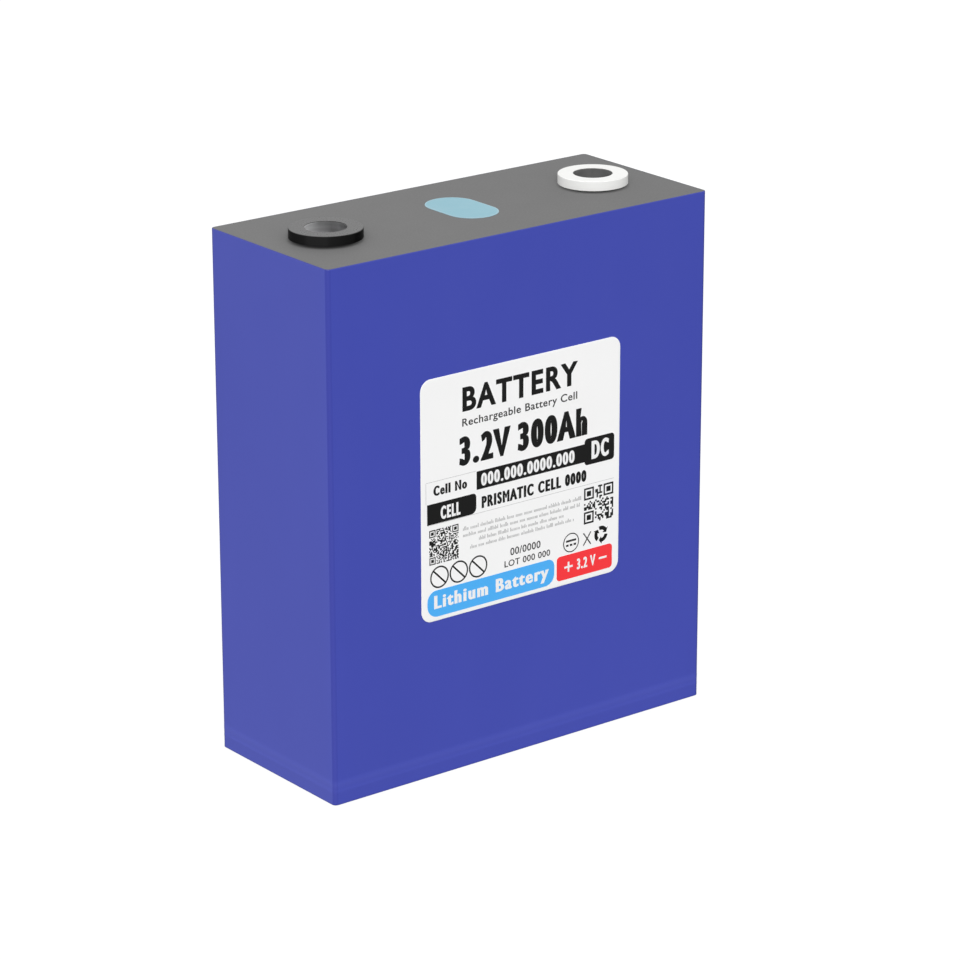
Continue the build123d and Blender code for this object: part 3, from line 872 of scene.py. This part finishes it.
class Ink:
    """Flat shapes of one colour on the label, in millimetres right of and below its corner."""

    def __init__(self, name, colour, on_paper=True):
        self.name = name
        self.material = ink_material(name, colour)
        self.face_depth = FIRST_INK_FACE if on_paper else 0.0
        self.back_depth = (PAPER_FACE if on_paper else FIRST_INK_FACE) + INK_BITE
        self.shape = bmesh.new()

    def face(self, points):
        verts = [self.shape.verts.new((u, 0.0, -v)) for u, v in points]
        self.shape.faces.new(verts)

    def box(self, left, top, right, bottom):
        self.face([(left, top), (left, bottom), (right, bottom), (right, top)])

    def rounded_box(self, left, top, right, bottom, radii):
        """radii: top left, bottom left, bottom right, top right."""
        top_left, bottom_left, bottom_right, top_right = radii
        corners = (
            (left + top_left, top + top_left, top_left, 270),
            (left + bottom_left, bottom - bottom_left, bottom_left, 180),
            (right - bottom_right, bottom - bottom_right, bottom_right, 90),
            (right - top_right, top + top_right, top_right, 0),
        )
        points = []
        for u, v, radius, start in corners:
            turns = [start - 90 * step / 8 for step in range(9)] if radius else [start]
            points += [polar(u, v, radius, turn) for turn in turns]
        self.face(points)

    def ring(self, u, v, radius, width, start=0.0, end=360.0):
        """A whole ring or part of one, as a strip of quads that each turn about 9 degrees."""
        steps = round((end - start) / 9)
        turns = [start + (end - start) * step / steps for step in range(steps + 1)]
        for turn, after in zip(turns, turns[1:]):
            self.face([
                polar(u, v, radius - width, turn),
                polar(u, v, radius - width, after),
                polar(u, v, radius, after),
                polar(u, v, radius, turn),
            ])

    def bar(self, start, end, width):
        """A straight stroke with square ends."""
        along = Vector(end) - Vector(start)
        side = Vector((-along.y, along.x)).normalized() * width / 2
        corners = [Vector(start) - side, Vector(end) - side, Vector(end) + side, Vector(start) + side]
        self.face([tuple(corner) for corner in corners])

    def words(self, text, left, top, right, bottom, weight, spacing):
        """A line of lettering stretched to fill a box, its strokes thickened by weight."""
        points, triangles = lettering(text, weight, spacing)
        across = [point.x for point in points]
        upward = [point.y for point in points]
        scale_u = (right - left) / (max(across) - min(across))
        scale_v = (bottom - top) / (max(upward) - min(upward))
        places = [
            (left + (point.x - min(across)) * scale_u, bottom - (point.y - min(upward)) * scale_v)
            for point in points
        ]
        for triangle in triangles:
            self.face([places[index] for index in triangle])

    def print_on(self, corner, face_y):
        """Thicken the shapes into ink and lay them on the label."""
        shape = self.shape
        bmesh.ops.remove_doubles(shape, verts=shape.verts, dist=INK_WELD)
        bmesh.ops.recalc_face_normals(shape, faces=shape.faces)
        grown = bmesh.ops.extrude_face_region(shape, geom=list(shape.faces))["geom"]
        moved = {part for part in grown if isinstance(part, bmesh.types.BMVert)}
        for vert in shape.verts:
            depth = self.back_depth if vert in moved else self.face_depth
            vert.co = Vector((corner.x + vert.co.x * MM, face_y + depth, corner.z + vert.co.z * MM))
        bmesh.ops.recalc_face_normals(shape, faces=shape.faces)
        mesh = bpy.data.meshes.new(self.name)
        shape.to_mesh(mesh)
        shape.free()
        add_piece(self.name, mesh, [self.material])


def code_square(ink, left, top, size, count, seed):
    """A square of random dots with three plain corner squares. It encodes nothing."""
    draw = random.Random(seed)
    pitch = size / count
    side = 7
    far = count - side

    def blocks(column, row, wide, tall):
        """Fill a rectangle of the square's places."""
        u, v = left + column * pitch, top + row * pitch
        ink.box(u, v, u + wide * pitch, v + tall * pitch)

    for row in range(count):
        for column in range(count):
            near_top, near_left = row <= side, column <= side
            near_right, near_bottom = column >= far - 1, row >= far - 1
            in_corner = near_top and (near_left or near_right) or near_bottom and near_left
            if draw.random() < 0.5 and not in_corner:
                blocks(column, row, 1, 1)
    for column, row in ((0, 0), (far, 0), (0, far)):
        blocks(column, row, side, 1)
        blocks(column, row + side - 1, side, 1)
        blocks(column, row + 1, 1, side - 2)
        blocks(column + side - 1, row + 1, 1, side - 2)
        blocks(column + 2, row + 2, side - 4, side - 4)


def small_print(ink, left, right, level, seed):
    """A line of dashes that reads as very small lettering from a distance."""
    short, tall, dash_width, word_gap = 0.9, 1.5, 0.30, 0.7
    draw = random.Random(seed)
    foot = level + short / 2
    place = left
    while place < right:
        word_end = min(right, place + draw.uniform(2.0, 6.0))
        while place < word_end:
            height = draw.choice((short, short, short, tall))
            ink.box(place, foot - height, place + dash_width, foot)
            place += draw.uniform(0.46, 0.62)
        place += word_gap


# ---------------------------------------------------------------- the label's generic print


def print_heading(black, grey):
    """Words are given as left, top, right and bottom in millimetres, weight and spacing."""
    black.words("BATTERY", 19.0, 5.9, 72.5, 15.1, BOLD, 1.16)
    grey.words("Rechargeable Battery Cell", 18.9, 17.7, 72.3, 21.6, PLAIN, 1.08)
    black.words("3.2V", 17.5, 24.5, 41.1, 35.6, BLACK, 1.37)
    black.words("300Ah", 44.4, 24.5, 77.2, 35.6, BLACK, 1.37)


def print_numbers(black, faint, white):
    """Zeros and plain words in and beside black boxes, with hairlines round them."""
    black.words("Cell No", 5.7, 40.6, 21.0, 44.4, BLACK, 1.37)
    black.box(25.4, 39.1, 76.0, 46.1)
    black.rounded_box(76.0, 37.2, 90.2, 47.5, (1.4, 1.4, 1.4, 1.4))
    white.words("000.000.0000.000", 27.4, 40.2, 71.2, 45.1, HEAVY, 1.27)
    white.words("DC", 79.3, 38.5, 87.6, 45.7, BLACK, 1.37)
    black.rounded_box(2.8, 47.2, 25.2, 55.0, (0, 0, 2.4, 1.6))
    white.words("CELL", 8.9, 48.8, 17.9, 53.9, BLACK, 1.37)
    black.words("PRISMATIC CELL 0000", 27.7, 49.1, 76.9, 53.7, BLACK, 1.37)
    hairline = 0.12
    faint.bar((2.3, 38.8), (25.0, 38.8), hairline)
    faint.bar((2.3, 38.8), (2.3, 47.0), hairline)
    faint.bar((2.9, 55.15), (90.2, 55.15), hairline)


def print_codes(black, faint):
    """Two squares of random dots with four lines of dashes between them."""
    code_square(black, 3.7, 57.2, size=13.3, count=33, seed=7)
    code_square(black, 75.9, 56.5, size=14.1, count=21, seed=11)
    small_print(faint, 19.1, 74.6, 60.0, seed=1)
    small_print(faint, 19.1, 74.0, 62.5, seed=2)
    small_print(faint, 26.4, 67.0, 65.1, seed=3)
    small_print(faint, 22.4, 70.8, 67.6, seed=4)


def print_slashed_rings(black):
    """Three rings with a slash and nothing in them."""
    level, reach = 75.75, 3.7
    for u in (8.25, 17.1, 26.0):
        black.ring(u, level, radius=4.25, width=0.6)
        black.bar(polar(u, level, reach, 225), polar(u, level, reach, 45), 0.65)


def print_current_sign(grey):
    """Direct current's sign: a bar over three dashes, in a ring."""
    grey.ring(69.8, 76.3, 3.8, 0.42)
    grey.bar((67.4, 75.5), (72.2, 75.5), 0.8)
    for u in (67.4, 69.2, 71.0):
        grey.bar((u, 77.2), (u + 1.2, 77.2), 0.8)


def print_arrows(black):
    """Three plain arrows that chase each other round."""
    centre = (84.2, 76.1)
    for start in (10, 130, 250):
        black.ring(*centre, 3.2, 1.5, start, start + 76)
        neck = start + 74
        black.face([polar(*centre, 0.9, neck), polar(*centre, 2.5, start + 104), polar(*centre, 4.0, neck)])


def print_signs(black, grey):
    """The row of small signs, with a plain cross between the last two."""
    print_slashed_rings(black)
    grey.words("00/0000", 41.0, 72.1, 55.2, 75.0, PLAIN, 1.08)
    grey.words("LOT 000 000", 38.3, 76.6, 59.8, 79.1, PLAIN, 1.08)
    print_current_sign(grey)
    grey.bar((75.7, 74.0), (79.3, 78.9), 0.5)
    grey.bar((79.3, 74.0), (75.7, 78.9), 0.5)
    print_arrows(black)


def print_footer(blue, red, white):
    """The coloured boxes at the foot, with what is printed in them."""
    blue.rounded_box(2.7, 80.7, 61.8, 90.9, (4.0, 4.6, 4.2, 3.0))
    white.words("Lithium Battery", 5.7, 82.7, 59.2, 89.4, HEAVY, 1.27)
    red.rounded_box(62.95, 80.8, 89.6, 90.4, (1.5, 1.5, 1.5, 1.5))
    white.words("3.2 V", 72.6, 83.4, 81.6, 87.7, HEAVY, 1.25)
    # A plus and a minus, the plus's upright in two halves so that no face lies on another
    stroke = 0.8
    white.bar((66.6, 85.6), (70.6, 85.6), stroke)
    white.bar((68.6, 83.6), (68.6, 85.2), stroke)
    white.bar((68.6, 86.0), (68.6, 87.6), stroke)
    white.bar((83.2, 85.6), (87.0, 85.6), stroke)


def print_label():
    """The sticker's print, one piece per ink."""
    low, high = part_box("label_sticker")
    corner = Vector((low.x, low.y, high.z))
    black = Ink("label_black_print", (0.0050, 0.0050, 0.0050))
    grey = Ink("label_grey_print", (0.040, 0.040, 0.040))
    faint = Ink("label_small_print", (0.44, 0.44, 0.44))
    blue = Ink("label_blue_print", (0.078, 0.445, 0.950))
    red = Ink("label_red_print", (0.995, 0.041, 0.049))
    white = Ink("label_reversed_print", (0.90, 0.90, 0.90), on_paper=False)
    print_heading(black, grey)
    print_numbers(black, faint, white)
    print_codes(black, faint)
    print_signs(black, grey)
    print_footer(blue, red, white)
    for ink in (black, grey, faint, blue, red, white):
        ink.print_on(corner, low.y)


def make_label():
    """The sticker: a thin sheet with rounded corners and a slightly rounded cut edge."""
    low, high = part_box("label_sticker")
    middle, half = middle_and_half("label_sticker")
    face = low.y + PAPER_FACE
    profile = (
        (0.02 * MM, high.y + PAPER_BITE),
        (0.0, face + 0.02 * MM),
        (0.015 * MM, face + 0.005 * MM),
        (0.04 * MM, face),
        (1.0 * MM, face),
    )
    sides = cuts(12)
    loops = []
    for inset, y in profile:
        radius = LABEL_CORNER - inset
        outline = rounded_outline(half.x - inset, half.z - inset, radius, sides, sides, arc_steps=12)
        loops.append([(middle.x + u, y, middle.z + v) for u, v in outline])
    mesh = loops_mesh("label_sheet", loops, False)
    piece = add_piece("label_sheet", mesh, [MATERIALS["label_paper"]])
    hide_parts("label_sticker")
    print_label()


# ---------------------------------------------------------------- camera, floor and light


def direction(azimuth, elevation):
    """A unit vector towards this azimuth and elevation in degrees."""
    azimuth, elevation = math.radians(azimuth), math.radians(elevation)
    return Vector((
        math.sin(azimuth) * math.cos(elevation),
        -math.cos(azimuth) * math.cos(elevation),
        math.sin(elevation),
    ))


def add_camera():
    """A long lens that looks at the cell from the left of its labelled face."""
    roll = math.radians(VIEW_ROLL)
    back = direction(VIEW_AZIMUTH, VIEW_ELEVATION)
    right = (-back).cross(Vector((0, 0, 1))).normalized()
    up = right.cross(-back)
    right, up = (
        math.cos(roll) * right + math.sin(roll) * up,
        -math.sin(roll) * right + math.cos(roll) * up,
    )
    centre = Vector((0, 0, cover_top / 2))
    data = bpy.data.cameras.new("camera")
    data.sensor_width = SENSOR_WIDTH
    data.lens = FOCAL_LENGTH
    data.clip_start, data.clip_end = 0.05, 50.0
    camera = new_object("camera", data)
    place = centre + back * VIEW_DISTANCE - right * SHIFT_RIGHT - up * SHIFT_UP
    turn = Matrix((right, up, back)).transposed().to_4x4()
    camera.matrix_world = Matrix.Translation(place) @ turn
    bpy.context.scene.camera = camera


def add_floor():
    """A white floor that glows a little, so that only a faint contact shadow shows on it."""
    mesh = bpy.data.meshes.new("floor")
    corners = [(x * FLOOR_HALF, y * FLOOR_HALF, 0) for x, y in ((-1, -1), (1, -1), (1, 1), (-1, 1))]
    mesh.from_pydata(corners, [], [(0, 1, 2, 3)])
    floor = new_object("floor", mesh)
    m = Nodes("floor")
    tint = m.ramp(m.noise(scale=3.0), 0.15, 0.16)
    gloss = m.ramp(m.noise(scale=40.0), 0.85, 0.95)
    m.socket("Specular IOR Level", 0.0)
    m.socket("Emission Color", (1.0, 1.0, 1.0, 1.0))
    m.socket("Emission Strength", FLOOR_GLOW)
    grain = m.bump(m.noise(scale=200.0), strength=0.02, distance=0.05 * MM)
    mesh.materials.append(m.finish(tint, gloss, grain))
    floor.visible_diffuse = False
    floor.visible_glossy = False


def add_light():
    """A white sky that is dim below the horizon, and one broad soft light from the front."""
    world = bpy.data.worlds.new("world")
    bpy.context.scene.world = world
    world.use_nodes = True
    tree = world.node_tree
    place = tree.nodes.new("ShaderNodeTexCoord")
    split = tree.nodes.new("ShaderNodeSeparateXYZ")
    tree.links.new(place.outputs["Generated"], split.inputs["Vector"])
    ramp = tree.nodes.new("ShaderNodeMapRange")
    ramp.inputs["From Min"].default_value = -HORIZON_BLEND
    ramp.inputs["From Max"].default_value = HORIZON_BLEND
    ramp.inputs["To Min"].default_value = SKY_BELOW
    ramp.inputs["To Max"].default_value = SKY_ABOVE
    tree.links.new(split.outputs["Z"], ramp.inputs["Value"])
    background = tree.nodes["Background"]
    background.inputs["Color"].default_value = (1.0, 1.0, 1.0, 1.0)
    tree.links.new(ramp.outputs["Result"], background.inputs["Strength"])

    data = bpy.data.lights.new("key", "SUN")
    data.energy = KEY_STRENGTH
    data.angle = math.radians(KEY_ANGLE)
    key = new_object("key", data)
    toward = direction(VIEW_AZIMUTH, KEY_ELEVATION)
    key.matrix_world = toward.to_track_quat("Z", "Y").to_matrix().to_4x4()


add_camera()
add_floor()
add_light()
bpy.context.scene.view_settings.view_transform = "Standard"

dress_cad()
make_wrap()
make_vent_film()
make_posts()
make_label()
